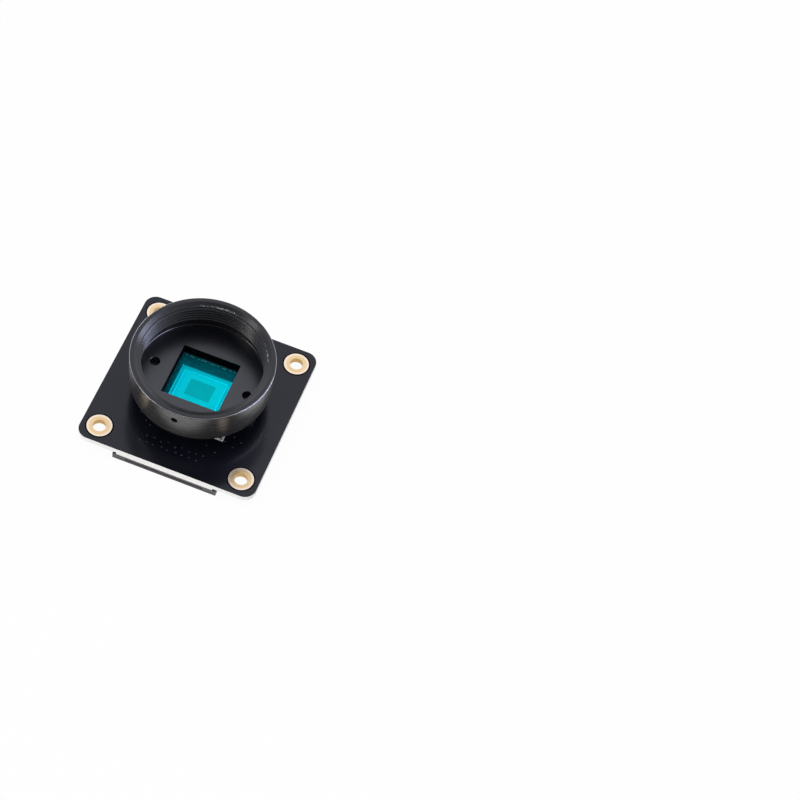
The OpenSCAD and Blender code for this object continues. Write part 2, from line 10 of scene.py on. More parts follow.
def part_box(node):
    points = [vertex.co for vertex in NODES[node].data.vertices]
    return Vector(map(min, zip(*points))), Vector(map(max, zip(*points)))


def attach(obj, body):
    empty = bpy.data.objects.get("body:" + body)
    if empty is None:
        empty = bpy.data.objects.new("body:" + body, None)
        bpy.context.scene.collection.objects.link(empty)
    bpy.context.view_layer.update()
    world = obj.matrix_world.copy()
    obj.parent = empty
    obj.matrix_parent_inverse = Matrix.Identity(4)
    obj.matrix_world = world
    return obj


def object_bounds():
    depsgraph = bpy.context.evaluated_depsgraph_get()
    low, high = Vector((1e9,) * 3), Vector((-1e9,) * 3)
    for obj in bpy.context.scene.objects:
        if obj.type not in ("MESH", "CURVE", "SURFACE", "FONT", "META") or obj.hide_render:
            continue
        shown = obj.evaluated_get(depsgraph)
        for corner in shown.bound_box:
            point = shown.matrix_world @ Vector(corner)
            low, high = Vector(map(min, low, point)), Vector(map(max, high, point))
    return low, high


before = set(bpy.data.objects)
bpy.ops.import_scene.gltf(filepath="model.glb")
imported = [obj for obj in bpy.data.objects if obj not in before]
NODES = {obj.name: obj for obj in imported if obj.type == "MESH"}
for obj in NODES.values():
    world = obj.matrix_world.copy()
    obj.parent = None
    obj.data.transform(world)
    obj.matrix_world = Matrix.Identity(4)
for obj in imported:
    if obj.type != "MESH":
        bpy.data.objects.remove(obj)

MM = 0.001
CAD_LOW, CAD_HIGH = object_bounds()

# ------------------------------------------------------------------ places taken from the frame

BOARD_LOW, BOARD_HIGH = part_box("circuit_board")
MOUNT_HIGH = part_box("lens_mount")[1]
FLOOR_Z = CAD_LOW.z
TOP_Z, UNDER_Z = BOARD_HIGH.z, BOARD_LOW.z
LIP_Z, BARREL_R = MOUNT_HIGH.z, MOUNT_HIGH.x

# Forms of the solids that their boxes don't show
RIM_INSET = 1.70 * MM      # from the barrel's outside to the narrow rim above the thread
RIM_DEPTH = 0.5 * MM       # from the lip down to that rim
WELL_DEPTH = 7.35 * MM     # from the lip down to the inner floor
FILTER_LAP = 0.55 * MM     # how far the filter reaches under the window's sides
PACKAGE_RIM = 0.7 * MM     # width of the sensor package's rim
PAD_R = 2.575 * MM         # outer radius of the gold pads

RIM_R, RIM_Z = BARREL_R - RIM_INSET, LIP_Z - RIM_DEPTH
WELL_Z = LIP_Z - WELL_DEPTH
WINDOW_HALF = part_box("infrared_filter")[1].x - FILTER_LAP
HOLE_X, HOLE_Y = (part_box("fixing_hole_pads")[1][axis] - PAD_R for axis in (0, 1))


# ------------------------------------------------------------------ node-tree helpers

class Tree:
    """The node tree of a material or of the world, with short calls to add and join nodes."""

    def __init__(self, name, world=False):
        self.block = (bpy.data.worlds if world else bpy.data.materials).new(name)
        self.block.use_nodes = True
        self.nodes = self.block.node_tree.nodes
        self.links = self.block.node_tree.links
        self.nodes.clear()
        self.out = self.nodes.new("ShaderNodeOutput" + ("World" if world else "Material"))

    def add(self, kind, inputs=None, **settings):
        """Adds a node; an input is a number, a colour or another node's output."""
        made = self.nodes.new("ShaderNode" + kind)
        for key, value in settings.items():
            setattr(made, key, value)
        for key, value in (inputs or {}).items():
            self.feed(made.inputs[key], value)
        return made

    def feed(self, socket, value):
        if isinstance(value, bpy.types.NodeSocket):
            self.links.new(value, socket)
        else:
            socket.default_value = value

    def math(self, operation, a, b=0.0, clamp=False):
        return self.add("Math", {0: a, 1: b}, operation=operation, use_clamp=clamp).outputs[0]

    def plus(self, a, b):
        return self.math("ADD", a, b)

    def times(self, a, b):
        return self.math("MULTIPLY", a, b)

    def coords(self):
        """Position in the row frame."""
        return self.add("TexCoord").outputs["Object"]

    def from_hole(self):
        """Distance from the axis of the nearest fixing hole."""
        x, y, _ = self.split(self.coords())
        return self.math("SQRT", self.plus(*(
            self.math("POWER", self.plus(self.math("ABSOLUTE", axis), -hole), 2.0)
            for axis, hole in ((x, HOLE_X), (y, HOLE_Y)))))

    def flatness(self):
        """1 on faces that lie flat, 0 on upright walls."""
        return self.math("ABSOLUTE", self.split(self.add("TexCoord").outputs["Normal"])[2])

    def split(self, vector):
        return self.add("SeparateXYZ", {0: vector}).outputs

    def join(self, x, y, z):
        return self.add("CombineXYZ", {0: x, 1: y, 2: z}).outputs[0]

    def stretch(self, vector, scale):
        return self.add("Mapping", {"Vector": vector, "Scale": scale}).outputs[0]

    def noise(self, vector, scale, detail=3.0, roughness=0.5):
        return self.add("TexNoise", {"Vector": vector, "Scale": scale, "Detail": detail,
                                     "Roughness": roughness}).outputs["Fac"]

    def remap(self, value, low, high, to_low=0.0, to_high=1.0):
        """Straight ramp from low..high to to_low..to_high, held at both ends."""
        return self.add("MapRange", {0: value, 1: low, 2: high, 3: to_low, 4: to_high}).outputs[0]

    def band(self, value, middle, half_width, soft):
        """1 within half_width of the middle, falling to 0 over the soft distance."""
        away = self.math("ABSOLUTE", self.plus(value, -middle))
        return self.remap(away, half_width + soft, half_width)

    def blend(self, factor, first, second):
        made = self.add("Mix", {"Factor": factor}, data_type="RGBA")
        for index, value in ((6, first), (7, second)):
            self.feed(made.inputs[index], rgba(value) if isinstance(value, tuple) else value)
        return made.outputs[2]

    def bump(self, height, distance, strength=1.0, normal=None):
        inputs = {"Height": height, "Distance": distance, "Strength": strength}
        if normal is not None:
            inputs["Normal"] = normal
        return self.add("Bump", inputs).outputs["Normal"]

    def mix_shaders(self, factor, first, second):
        return self.add("MixShader", {0: factor, 1: first, 2: second}).outputs[0]

    def show(self, shader):
        self.links.new(shader, self.out.inputs["Surface"])
        return self.block

    def principled(self, **inputs):
        """A main shader. Input names are written with _ for each space."""
        names = {"Specular": "Specular IOR Level"}
        made = self.add("BsdfPrincipled")
        for key, value in inputs.items():
            socket = made.inputs[names.get(key, key.replace("_", " "))]
            self.feed(socket, rgba(value) if isinstance(value, tuple) else value)
        return made.outputs[0]


def rgba(colour):
    return (*colour[:3], 1.0)


# ------------------------------------------------------------------ materials

def solder_mask():
    """Glossy black mask on both faces of the board, pale glass-fibre laminate on its edges."""
    polish = 0.41    # how much smoother the mask is than the cut edges
    t = Tree("solder_mask")
    at = t.coords()
    face = t.math("GREATER_THAN", t.flatness(), 0.5)
    cloud = t.noise(at, 90.0, 4.0)
    grain = t.noise(at, 5200.0, 2.0)
    mask = t.blend(t.remap(cloud, 0.35, 0.7), (0.0034, 0.0040, 0.0078), (0.0062, 0.0068, 0.0112))
    fibres = t.noise(t.stretch(at, (900.0, 900.0, 9000.0)), 1.0, 4.0)
    laminate = t.blend(t.remap(fibres, 0.3, 0.7), (0.84, 0.83, 0.80), (0.93, 0.92, 0.90))
    return t.show(t.principled(
        Base_Color=t.blend(face, laminate, mask),
        Roughness=t.plus(t.times(face, -polish), t.remap(grain, 0.2, 0.8, 0.54, 0.62)),
        Specular=0.42,
        Normal=t.bump(grain, 0.0000035, 0.5, t.bump(cloud, 0.00004, 0.25))))


def covered_copper():
    """The same mask where it lies over a copper track: a little lighter and greener."""
    t = Tree("covered_copper")
    at = t.coords()
    cloud = t.noise(at, 260.0, 3.0)
    grain = t.noise(at, 5200.0, 2.0)
    return t.show(t.principled(
        Base_Color=t.blend(t.remap(cloud, 0.35, 0.7), (0.013, 0.014, 0.021), (0.022, 0.023, 0.031)),
        Roughness=t.remap(grain, 0.2, 0.8, 0.16, 0.24),
        Normal=t.bump(grain, 0.0000035, 0.5)))


# Middle and half width, in degrees from +X, of the stretches of rim with the most burrs
BURRED = ((97.0, 16.0), (33.0, 10.0))
WALL_T = 0.9 * MM    # what lies this near to the barrel's outside has the outside's finish and its painted sheen


def anodised():
    """Turned aluminium, black anodised: fine turned lines all round, and bright flecks where the
    anodising has chipped off the sharp rim above the thread."""
    t = Tree("black_anodised")
    at = t.coords()
    x, y, z = t.split(at)
    radius = t.math("SQRT", t.plus(t.times(x, x), t.times(y, y)))
    # Places squeezed together round the axis, so that the noise is drawn out into turned lines
    around = [t.math("DIVIDE", axis, t.times(radius, 1500.0)) for axis in (x, y)]
    turning = t.join(*around, t.plus(z, radius))
    wall = t.remap(t.flatness(), 0.75, 0.45)
    streaks = t.noise(turning, 6500.0, 5.0, 0.65)
    lines = t.noise(turning, 21000.0, 2.0)
    speck = t.noise(at, 2600.0, 3.0, 0.6)
    chips = t.noise(at, 5200.0, 2.0, 0.7)
    patches = t.noise(at, 170.0, 2.0)
    rim = t.times(t.band(radius, RIM_R, 0.09 * MM, 0.05 * MM),
                  t.band(z, RIM_Z, 0.15 * MM, 0.05 * MM))
    angle = t.math("ARCTAN2", y, x)
    burred = t.plus(*(t.band(angle, math.radians(middle), math.radians(half), 0.1)
                      for middle, half in BURRED))
    worn = t.times(rim, t.remap(t.plus(t.plus(chips, t.times(patches, 0.35)),
                                       t.times(burred, 0.15)), 0.90, 0.96))
    outside = t.times(t.math("GREATER_THAN", radius, BARREL_R - WALL_T), wall)
    well = t.remap(z, WELL_Z + 0.2 * MM, WELL_Z + 0.1 * MM)
    tone = t.blend(t.remap(streaks, 0.35, 0.72), (0.0030, 0.0030, 0.0034), (0.0085, 0.0082, 0.0085))
    # Painted shade: the floor of the well is near-black and bluish, darker than the anodising
    # elsewhere.
    tone = t.blend(well, tone, (0.0008, 0.0010, 0.0030))
    # Painted sheen: the barrel's outside is lighter along its turned lines, over its own finish.
    turned = t.remap(streaks, 0.38, 0.66)
    tone = t.blend(outside, tone, t.blend(turned, (0.006, 0.006, 0.0064), (0.030, 0.028, 0.027)))
    tone = t.blend(t.times(wall, t.remap(speck, 0.60, 0.76, 0.0, 0.45)), tone, (0.11, 0.105, 0.10))
    rough = t.plus(t.remap(streaks, 0.3, 0.7, 0.18, 0.26), t.remap(speck, 0.3, 0.7, -0.02, 0.02))
    rough = t.plus(rough, t.times(well, 0.10))
    haze = t.times(outside, t.remap(turned, 0.0, 1.0, 0.35, 1.0))
    return t.show(t.principled(
        Base_Color=t.blend(worn, tone, (0.86, 0.85, 0.83)), Metallic=worn,
        Roughness=rough, Specular=0.58,
        Coat_Weight=t.plus(t.times(well, 0.75), haze), Coat_Roughness=0.32,
        Normal=t.bump(streaks, 0.000010, t.remap(wall, 0.0, 1.0, 0.25, 0.6),
                      t.bump(lines, 0.000003, 0.4))))


def plated(name, base, second, rough_low, rough_high, scratch=0.4, painted_hole_shade=1.0, rim=None):
    """Plated or tinned metal with a faint grain and uneven shine. Upright faces, such as the inside
    of a hole, may be painted darker and redder than the flat: painted shade. A pad may be painted
    paler towards its rim: a painted highlight."""
    t = Tree(name)
    at = t.coords()
    patches = t.noise(at, 420.0, 4.0)
    grain = t.noise(at, 7000.0, 2.0)
    colour = t.blend(t.remap(patches, 0.3, 0.7), base, second)
    # Painted highlight: the pad turns paler near its rim.
    if rim:
        colour = t.blend(t.band(t.from_hole(), PAD_R, 0.25 * MM, 0.35 * MM), colour, rim)
    # Painted shade: upright faces, such as hole walls, turn darker and redder.
    if painted_hole_shade < 1.0:
        dark = tuple(painted_hole_shade ** power * c for power, c in zip((1.0, 1.3, 1.9), base))
        colour = t.blend(t.remap(t.flatness(), 0.5, 0.2), colour, dark)
    return t.show(t.principled(
        Base_Color=colour, Metallic=1.0,
        Roughness=t.plus(t.remap(patches, 0.3, 0.7, rough_low, rough_high),
                         t.remap(grain, 0.3, 0.7, -0.02, 0.02)),
        Normal=t.bump(grain, 0.000004, scratch)))


def screw_metal():
    """Nickel-plated head. From the board's underside up, the screw is painted near-black and matt:
    painted shade for its end, which is seen deep in the mount's holes.
    """
    t = Tree("screw_steel")
    at = t.coords()
    # Painted shade: the shank, whose end shows deep in the mount's holes, is near-black and not
    # metallic.
    painted_shank_shade = t.remap(t.split(at)[2], UNDER_Z, 0.0)
    patches = t.noise(at, 420.0, 4.0)
    grain = t.noise(at, 7000.0, 2.0)
    nickel = t.blend(t.remap(patches, 0.3, 0.7), (0.60, 0.59, 0.57), (0.70, 0.69, 0.67))
    shank_shade_colour = t.blend(t.remap(patches, 0.3, 0.7), (0.012, 0.012, 0.014), (0.030, 0.030, 0.032))
    return t.show(t.principled(
        Base_Color=t.blend(painted_shank_shade, nickel, shank_shade_colour), Metallic=t.remap(painted_shank_shade, 0.0, 1.0, 1.0, 0.0),
        Roughness=t.remap(patches, 0.3, 0.7, 0.22, 0.34), Normal=t.bump(grain, 0.000004, 0.4)))


def moulded(name, base, second, rough, grain_size=4200.0, depth=0.000006, specular=0.5):
    """Moulded plastic or moulding compound: fine spark-eroded grain and soft blotches."""
    t = Tree(name)
    at = t.coords()
    blotch = t.noise(at, 300.0, 3.0)
    grain = t.noise(at, grain_size, 3.0, 0.6)
    shade = t.plus(t.times(blotch, 0.6), t.times(grain, 0.4))
    return t.show(t.principled(
        Base_Color=t.blend(t.remap(shade, 0.35, 0.65), base, second),
        Roughness=t.remap(grain, 0.25, 0.75, rough - 0.06, rough + 0.06),
        Specular=specular,
        Normal=t.bump(grain, depth, 0.6)))


def pane(name, tint, clear, ior, shine):
    """Thin coated glass. A coating that takes the shine away is a low IOR. Rays from the lamps
    pass straight through both faces, tinted."""
    t = Tree(name)
    at = t.coords()
    haze = t.noise(at, 700.0, 3.0)
    glass = t.principled(Base_Color=tint, Transmission_Weight=clear, IOR=ior,
                         Roughness=t.remap(haze, 0.45, 0.75, 0.0, 0.025), Specular=shine)
    lamp = t.add("BsdfTransparent", {"Color": rgba([math.sqrt(c) for c in tint])}).outputs[0]
    return t.show(t.mix_shaders(t.add("LightPath").outputs["Is Shadow Ray"], glass, lamp))


def silicon():
    """Polished die with faint rows of cells in it."""
    t = Tree("silicon")
    at = t.coords()
    cloud = t.noise(at, 260.0, 3.0)
    fine = t.noise(t.stretch(at, (9000.0, 900.0, 1.0)), 1.0, 2.0)
    shade = t.plus(t.times(cloud, 0.6), t.times(fine, 0.4))
    return t.show(t.principled(
        Base_Color=t.blend(t.remap(shade, 0.35, 0.65), (0.63, 0.64, 0.54), (0.69, 0.70, 0.60)),
        Roughness=t.remap(fine, 0.3, 0.7, 0.35, 0.45)))


def microlenses():
    """Dark, even film over the pixels, with a very fine grid in its shine."""
    t = Tree("microlens_film")
    at = t.coords()
    grid = t.noise(t.stretch(at, (12000.0, 12000.0, 1.0)), 1.0, 1.0)
    cloud = t.noise(at, 150.0, 2.0)
    return t.show(t.principled(
        Base_Color=t.blend(t.remap(cloud, 0.35, 0.65), (0.36, 0.375, 0.265), (0.395, 0.41, 0.295)),
        Roughness=t.remap(grid, 0.3, 0.7, 0.36, 0.42)))


MATERIALS = {
    "circuit_board": solder_mask(),
    # Gold pads, with painted shade in their holes and a painted highlight at their rims
    "fixing_hole_pads": plated("gold_plating", (0.85, 0.595, 0.29), (0.93, 0.68, 0.36), 0.22, 0.32,
                               painted_hole_shade=0.62, rim=(1.0, 0.84, 0.64)),
    "printed_outline": moulded("white_ink", (0.80, 0.80, 0.78), (0.90, 0.90, 0.88), 0.55, 9000.0),
    "lens_mount": anodised(),
    "mount_screws": screw_metal(),
    "lens_lock_screw": plated("black_steel", (0.030, 0.030, 0.032), (0.05, 0.05, 0.052), 0.35, 0.45),
    "infrared_filter": pane("filter_glass", (0.0, 0.86, 1.0), 0.955, 1.1, 0.1),
    "filter_glue": moulded("clear_glue", (0.004, 0.02, 0.03), (0.05, 0.16, 0.19), 0.25),
    "sensor_package": moulded("white_ceramic", (0.88, 0.88, 0.84), (0.93, 0.93, 0.89), 0.40),
    "sensor_die": silicon(),
    "sensor_microlenses": microlenses(),
    "sensor_cover_glass": pane("cover_glass", (0.97, 0.99, 0.99), 1.0, 1.5, 0.5),
    "connector_housing": moulded("housing_plastic", (0.86, 0.85, 0.82), (0.92, 0.91, 0.88), 0.48),
    "connector_latch": moulded("latch_plastic", (0.056, 0.049, 0.058), (0.074, 0.066, 0.075), 0.45),
    "connector_contacts": plated("contact_metal", (0.80, 0.66, 0.36), (0.88, 0.78, 0.52), 0.22, 0.32),
    "connector_tabs": plated("tinned_metal", (0.70, 0.70, 0.68), (0.80, 0.80, 0.78), 0.28, 0.42),
    "image_processor": moulded("chip_mould", (0.020, 0.020, 0.022), (0.032, 0.032, 0.034), 0.55),
    "clock_oscillator": moulded("clock_ceramic", (0.50, 0.46, 0.38), (0.58, 0.54, 0.46), 0.50),
    "power_inductors": moulded("ferrite", (0.055, 0.055, 0.058), (0.090, 0.090, 0.092), 0.62, 2600.0,
                               0.000012),
    "capacitors": moulded("capacitor_ceramic", (0.34, 0.24, 0.14), (0.44, 0.32, 0.20), 0.42),
    "resistors": moulded("resistor_glaze", (0.012, 0.012, 0.014), (0.022, 0.022, 0.024), 0.22),
}
SHARED = {
    "memory_chip": "image_processor", "voltage_regulators": "image_processor",
    "clock_lid": "connector_tabs", "chip_legs": "connector_tabs",
    "inductor_bases": "connector_tabs", "part_end_caps": "connector_tabs",
    "small_capacitors": "capacitors",
}
COVERED_COPPER = covered_copper()
SEAL = moulded("glass_seal", (0.94, 0.95, 0.88), (0.97, 0.98, 0.91), 0.20)
# Painted glints: the clear glue drops are coloured bright teal, so that they shine in the shade by
# the window's rear wall.
GLUE_DROP_GLINTS = moulded("glue_drops_painted_glint", (0.10, 0.42, 0.50), (0.16, 0.55, 0.62), 0.14)
WORN_EDGE = plated("worn_edge", (0.36, 0.36, 0.38), (0.52, 0.52, 0.53), 0.12, 0.24)
# A near-black matt sheet for the window's walls: painted shade
WINDOW_WALL_SHADE = moulded("painted_window_shade", (0.0012, 0.0014, 0.0022), (0.002, 0.002, 0.003), 0.85,
                   specular=0.05)
PAD_GAP = moulded("pad_gap", (0.003, 0.0016, 0.0008), (0.006, 0.003, 0.0015), 0.85, specular=0.05)
BOND_GOLD = plated("bond_gold", (0.88, 0.70, 0.38), (0.95, 0.78, 0.46), 0.18, 0.26)

# Rounding of the sharp edges that moulding, firing or plating leaves soft
EDGE_ROUND = {
    "connector_housing": 0.07 * MM, "connector_latch": 0.05 * MM, "capacitors": 0.04 * MM,
    "small_capacitors": 0.03 * MM, "resistors": 0.015 * MM, "part_end_caps": 0.035 * MM,
    "power_inductors": 0.08 * MM, "inductor_bases": 0.05 * MM, "image_processor": 0.025 * MM,
    "clock_oscillator": 0.05 * MM, "clock_lid": 0.05 * MM, "sensor_package": 0.04 * MM,
    "connector_tabs": 0.04 * MM, "fixing_hole_pads": 0.045 * MM,
}


def dress(piece, material):
    piece.data.materials.clear()
    piece.data.materials.append(material)


def soften(piece, width):
    """Rounds the sharp edges. The flat faces are joined first, so that each edge is one edge."""
    flat = piece.modifiers.new("flat_faces", "DECIMATE")
    flat.decimate_type, flat.angle_limit = "DISSOLVE", math.radians(1.0)
    edges = piece.modifiers.new("rounded_edges", "BEVEL")
    edges.width, edges.segments = width, 2
    edges.limit_method, edges.angle_limit = "ANGLE", math.radians(40.0)
    edges.harden_normals = False


for name, node in NODES.items():
    dress(node, MATERIALS[SHARED.get(name, name)])
    if name in EDGE_ROUND:
        soften(node, EDGE_ROUND[name])


# ------------------------------------------------------------------ mesh helpers

class Form:
    """Points and faces of one piece, put together loop by loop."""

    def __init__(self):
        self.points, self.faces = [], []

    def loop(self, points):
        start = len(self.points)
        self.points.extend(points)
        return list(range(start, len(self.points)))

    def skin(self, low, high):
        """A band of faces between two loops with the same number of points."""
        for i in range(len(low)):
            j = (i + 1) % len(low)
            self.faces.append((low[i], low[j], high[j], high[i]))

    def stack(self, loops):
        """A closed solid through these loops, from the first end to the last."""
        made = [self.loop(points) for points in loops]
        for low, high in zip(made, made[1:]):
            self.skin(low, high)
        self.faces.append(tuple(reversed(made[0])))
        self.faces.append(tuple(made[-1]))

    def frame(self, sections, low_z):
        """A closed rectangular frame. Each section point is (half width, half depth, height
        over low_z)."""
        made = [self.loop(rectangle(x, y, low_z + up)) for x, y, up in sections]
        for low, high in zip(made, made[1:] + made[:1]):
            self.skin(low, high)

    def hoop(self, x, y, section, sides):
        """A closed ring about an upright axis. Each section point is (radius, height)."""
        made = [self.loop(circle(x, y, z, radius, sides)) for radius, z in section]
        for low, high in zip(made, made[1:] + made[:1]):
            self.skin(low, high)

    def make(self, name, material, smooth=True, body="root"):
        """Turns the form into a piece that rides on a body."""
        mesh = bpy.data.meshes.new(name)
        mesh.from_pydata(self.points, [], self.faces)
        mesh.validate()
        if smooth:
            mesh.shade_smooth()
        piece = bpy.data.objects.new(name, mesh)
        bpy.context.scene.collection.objects.link(piece)
        dress(piece, material)
        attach(piece, body)
        return piece


def rectangle(x, y, z):
    return [(-x, -y, z), (x, -y, z), (x, y, z), (-x, y, z)]


def circle(x, y, z, radius, sides=14):
    return [(x + radius * math.cos(math.tau * i / sides),
             y + radius * math.sin(math.tau * i / sides), z) for i in range(sides)]


def block_loop(low, high, grow, z):
    """The outline of a box seen from above, grown by so much, with its corners cut."""
    cut = 0.03 * MM + 0.6 * max(grow, 0.0)
    x0, y0, x1, y1 = low[0] - grow, low[1] - grow, high[0] + grow, high[1] + grow
    cut = min(cut, 0.4 * (x1 - x0), 0.4 * (y1 - y0))
    return [(x0 + cut, y0, z), (x1 - cut, y0, z), (x1, y0 + cut, z), (x1, y1 - cut, z),
            (x1 - cut, y1, z), (x0 + cut, y1, z), (x0, y1 - cut, z), (x0, y0 + cut, z)]


def islands(name):
    """(lowest corner, highest corner) of each separate solid of a node, the one whose lowest
    corner is nearest to the origin first. Points in the same micrometre are one point."""
    mesh = NODES[name].data
    parent = {}

    def root(key):
        while parent[key] != key:
            parent[key] = parent[parent[key]]
            key = parent[key]
        return key

    keys = [tuple(round(c * 1e6) for c in v.co) for v in mesh.vertices]
    for key in keys:
        parent.setdefault(key, key)
    for edge in mesh.edges:
        a, b = (root(keys[i]) for i in edge.vertices)
        parent[a] = b
    boxes = {}
    for key, vertex in zip(keys, mesh.vertices):
        low, high = boxes.setdefault(root(key), ([1.0] * 3, [-1.0] * 3))
        for axis in range(3):
            low[axis] = min(low[axis], vertex.co[axis])
            high[axis] = max(high[axis], vertex.co[axis])
    return sorted((Vector(low), Vector(high)) for low, high in boxes.values())


# ------------------------------------------------------------------ small pieces on the top face

VIA_R, VIA_H = 0.18 * MM, 0.04 * MM
# The bump over a via, from its foot to the dip in its top: (share of radius, share of height)
VIA_DOME = ((1.0, -0.2), (1.0, 0.0), (0.88, 0.42), (0.66, 0.80), (0.36, 0.97), (0.12, 0.92))
# Arcs of vias round the mount: radius in mm, first and last angle in degrees, number
VIA_ARCS = ((12.2, -61, -30, 3), (14.1, -55, -29, 3), (16.1, -20, -14, 2),
            (12.5, -136, -118, 3), (14.6, 30, 62, 4), (15.2, 118, 150, 4))
CONTACTS = sorted(islands("connector_contacts"), key=lambda box: box[0].x)
CONTACT_X = [(low.x + high.x) / 2 for low, high in CONTACTS]


def via_places():
    """Filled holes under the mask: two rows over the cable contacts, and arcs round the mount.
    The holes sway a little off their lines, as hand-placed ones do."""
    step = 1.5 * (CONTACT_X[1] - CONTACT_X[0])
    front_row, rear_row = BOARD_LOW.y + 4.1 * MM, BOARD_LOW.y + 5.55 * MM
    places = []
    for i in range(9):
        sway = math.sin(2.7 * i) * MM
        places.append((CONTACT_X[0] + i * step + 0.15 * sway, front_row + 0.08 * sway))
        places.append((CONTACT_X[1] + i * step - 0.1 * sway, rear_row + 0.3 * sway))
    for radius, first, last, count in VIA_ARCS:
        for i in range(count):
            share = (i + 0.2 * math.sin(2.1 * i)) / (count - 1)
            turn = math.radians(first + (last - first) * share)
            places.append((radius * MM * math.cos(turn), radius * MM * math.sin(turn)))
    return places


def make_vias(name, z, up):
    """The bumps on one face. On the top face one more stands up through the printed corner."""
    form = Form()
    bumps = [(x, y, VIA_H) for x, y in via_places()]
    if up > 0:
        print_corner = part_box("printed_outline")[1].x
        inset_x, inset_y, taller = 0.45 * MM, 0.43 * MM, 2.3
        bumps.append((print_corner - inset_x, inset_y - print_corner, taller * VIA_H))
    for x, y, tall in bumps:
        rings = [circle(x, y, z + up * tall * rise, VIA_R * width) for width, rise in VIA_DOME]
        form.stack(rings if up > 0 else [ring[::-1] for ring in rings])
    form.make(name, COVERED_COPPER)


def make_pad_gaps():
    """The dark gap between each gold pad and the mask round it, on both faces of the board."""
    form = Form()
    inside, outside, proud = PAD_R - 0.03 * MM, PAD_R + 0.30 * MM, 0.006 * MM
    for x in (-HOLE_X, HOLE_X):
        for y in (-HOLE_Y, HOLE_Y):
            for face, up in ((TOP_Z, 1), (UNDER_Z, -1)):
                section = [(inside, face - proud), (outside, face - proud),
                           (outside, face + proud), (inside, face + proud)]
                form.hoop(x, y, section[::up], 64)
    form.make("pad_gaps", PAD_GAP, smooth=False)


make_vias("via_bumps_top", TOP_Z, 1)
make_pad_gaps()


# ------------------------------------------------------------------ lens mount details

def make_lip_edge():
    """The sharp outer edge of the lip, where the black has worn off the bevel."""
    form = Form()
    wire_r, bevel_middle = 0.055 * MM, 0.10 * MM
    turns = [math.tau * k / 10 for k in range(10)]
    section = [(BARREL_R - bevel_middle + wire_r * math.cos(turn),
                LIP_Z - bevel_middle + wire_r * math.sin(turn)) for turn in turns]
    form.hoop(0.0, 0.0, section, 240)
    form.make("lip_edge", WORN_EDGE)


make_lip_edge()


# ------------------------------------------------------------------ sensor details

def make_bond_wires():
    """Gold wires from the die's long sides down to the floor of the package."""
    die_low, die_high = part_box("sensor_die")
    count, wire_r, sides, steps = 26, 0.0125 * MM, 6, 8
    inset, reach, crown = 0.12 * MM, 0.22 * MM, 0.13 * MM
    top_z, foot_z = die_high.z, die_low.z + 0.02 * MM
    ball = ((top_z, 0.045 * MM), (top_z + 0.02 * MM, 0.035 * MM))    # height, radius: foot, top
    form = Form()
    for side in (-1, 1):
        edge_y = die_high.y if side > 0 else die_low.y
        start_y, end_y = edge_y - side * inset, edge_y + side * reach
        for i in range(count):
            x = die_low.x + (i + 0.5) * (die_high.x - die_low.x) / count
            loops = []
            for k in range(steps + 1):
                share = k / steps
                y = start_y + (end_y - start_y) * share
                arch = crown * math.sin(math.pi * share ** 0.6)
                z = top_z + (foot_z - top_z) * share ** 3 + arch
                loops.append([(x + wire_r * math.cos(math.tau * s / sides), y,
                               z + wire_r * math.sin(math.tau * s / sides)) for s in range(sides)])
            form.stack(loops)
            form.stack([circle(x, start_y, z, radius, 8) for z, radius in ball])
    form.make("bond_wires", BOND_GOLD)


# Section of the bead of seal, from the rim inwards: (share of its width, height in mm)
BEAD = ((0.0, 0.0), (0.6, -0.05), (1.0, -0.20), (0.0, -0.24))


def make_seal_beads():
    """A bead of seal that fills the corner inside the package's rim, and the ground edges of the
    cover glass on its two short sides."""
    package, die, glass = (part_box(name)[1] for name in
                           ("sensor_package", "sensor_die", "sensor_cover_glass"))
    x, y = package.x - PACKAGE_RIM, package.y - PACKAGE_RIM
    bead = 0.9 * (x - die.x)
    ground, proud = 0.15 * MM, 0.03 * MM
    form = Form()
    form.frame([(x - share * bead, y - share * bead, up * MM) for share, up in BEAD], package.z)
    for side in (-1, 1):
        strip = [(glass.x, 0.0), (glass.x - 0.3 * ground, proud), (glass.x - ground, 0.0)]
        form.stack([[(side * a, end, glass.z + up) for a, up in strip[::side]]
                    for end in (glass.y, -glass.y)])
    form.make("sensor_seal_beads", SEAL, smooth=False)


# Outline of a drop of glue seen from the side: (share of its width, height in mm)
DROP_DOME = ((1.0, -0.01), (1.0, 0.01), (0.75, 0.035), (0.35, 0.05), (0.1, 0.052))


def make_glue_drops():
    """Drops of the filter's glue in a broken line on the filter, by the window's rear wall. Their
    bright teal colour is a painted glint.
    """
    form = Form()
    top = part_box("infrared_filter")[1].z
    start, end = -0.87 * WINDOW_HALF, 0.82 * WINDOW_HALF
    count, wide = 13, 0.055 * MM
    turns = [math.tau * k / 12 for k in range(12)]
    for i in range(count):
        x = start + (end - start) * (i + 0.25 * math.sin(2.3 * i)) / (count - 1)
        y = WINDOW_HALF - (0.42 - 0.05 * math.sin(1.7 * i)) * MM
        long = (0.26 + 0.13 * math.sin(3.1 * i)) * MM
        form.stack([[(x + long * width * math.cos(turn), y + wide * width * math.sin(turn),
                      top + up * MM) for turn in turns] for width, up in DROP_DOME])
    form.make("glue_drops_painted_glint", GLUE_DROP_GLINTS)


def make_window_wall_shade():
    """A near-black matt sheet over the four walls of the window: painted shade on the walls round the
    filter. It also keeps stray light off the sensor.
    """
    form = Form()
    inside, outside = WINDOW_HALF - 0.02 * MM, WINDOW_HALF + 0.01 * MM
    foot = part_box("filter_glue")[1].z + 0.02 * MM
    rise = WELL_Z - 0.08 * MM - foot
    form.frame([(outside, outside, 0.0), (outside, outside, rise),
                (inside, inside, rise), (inside, inside, 0.0)], foot)
    form.make("window_wall_shade", WINDOW_WALL_SHADE, smooth=False)


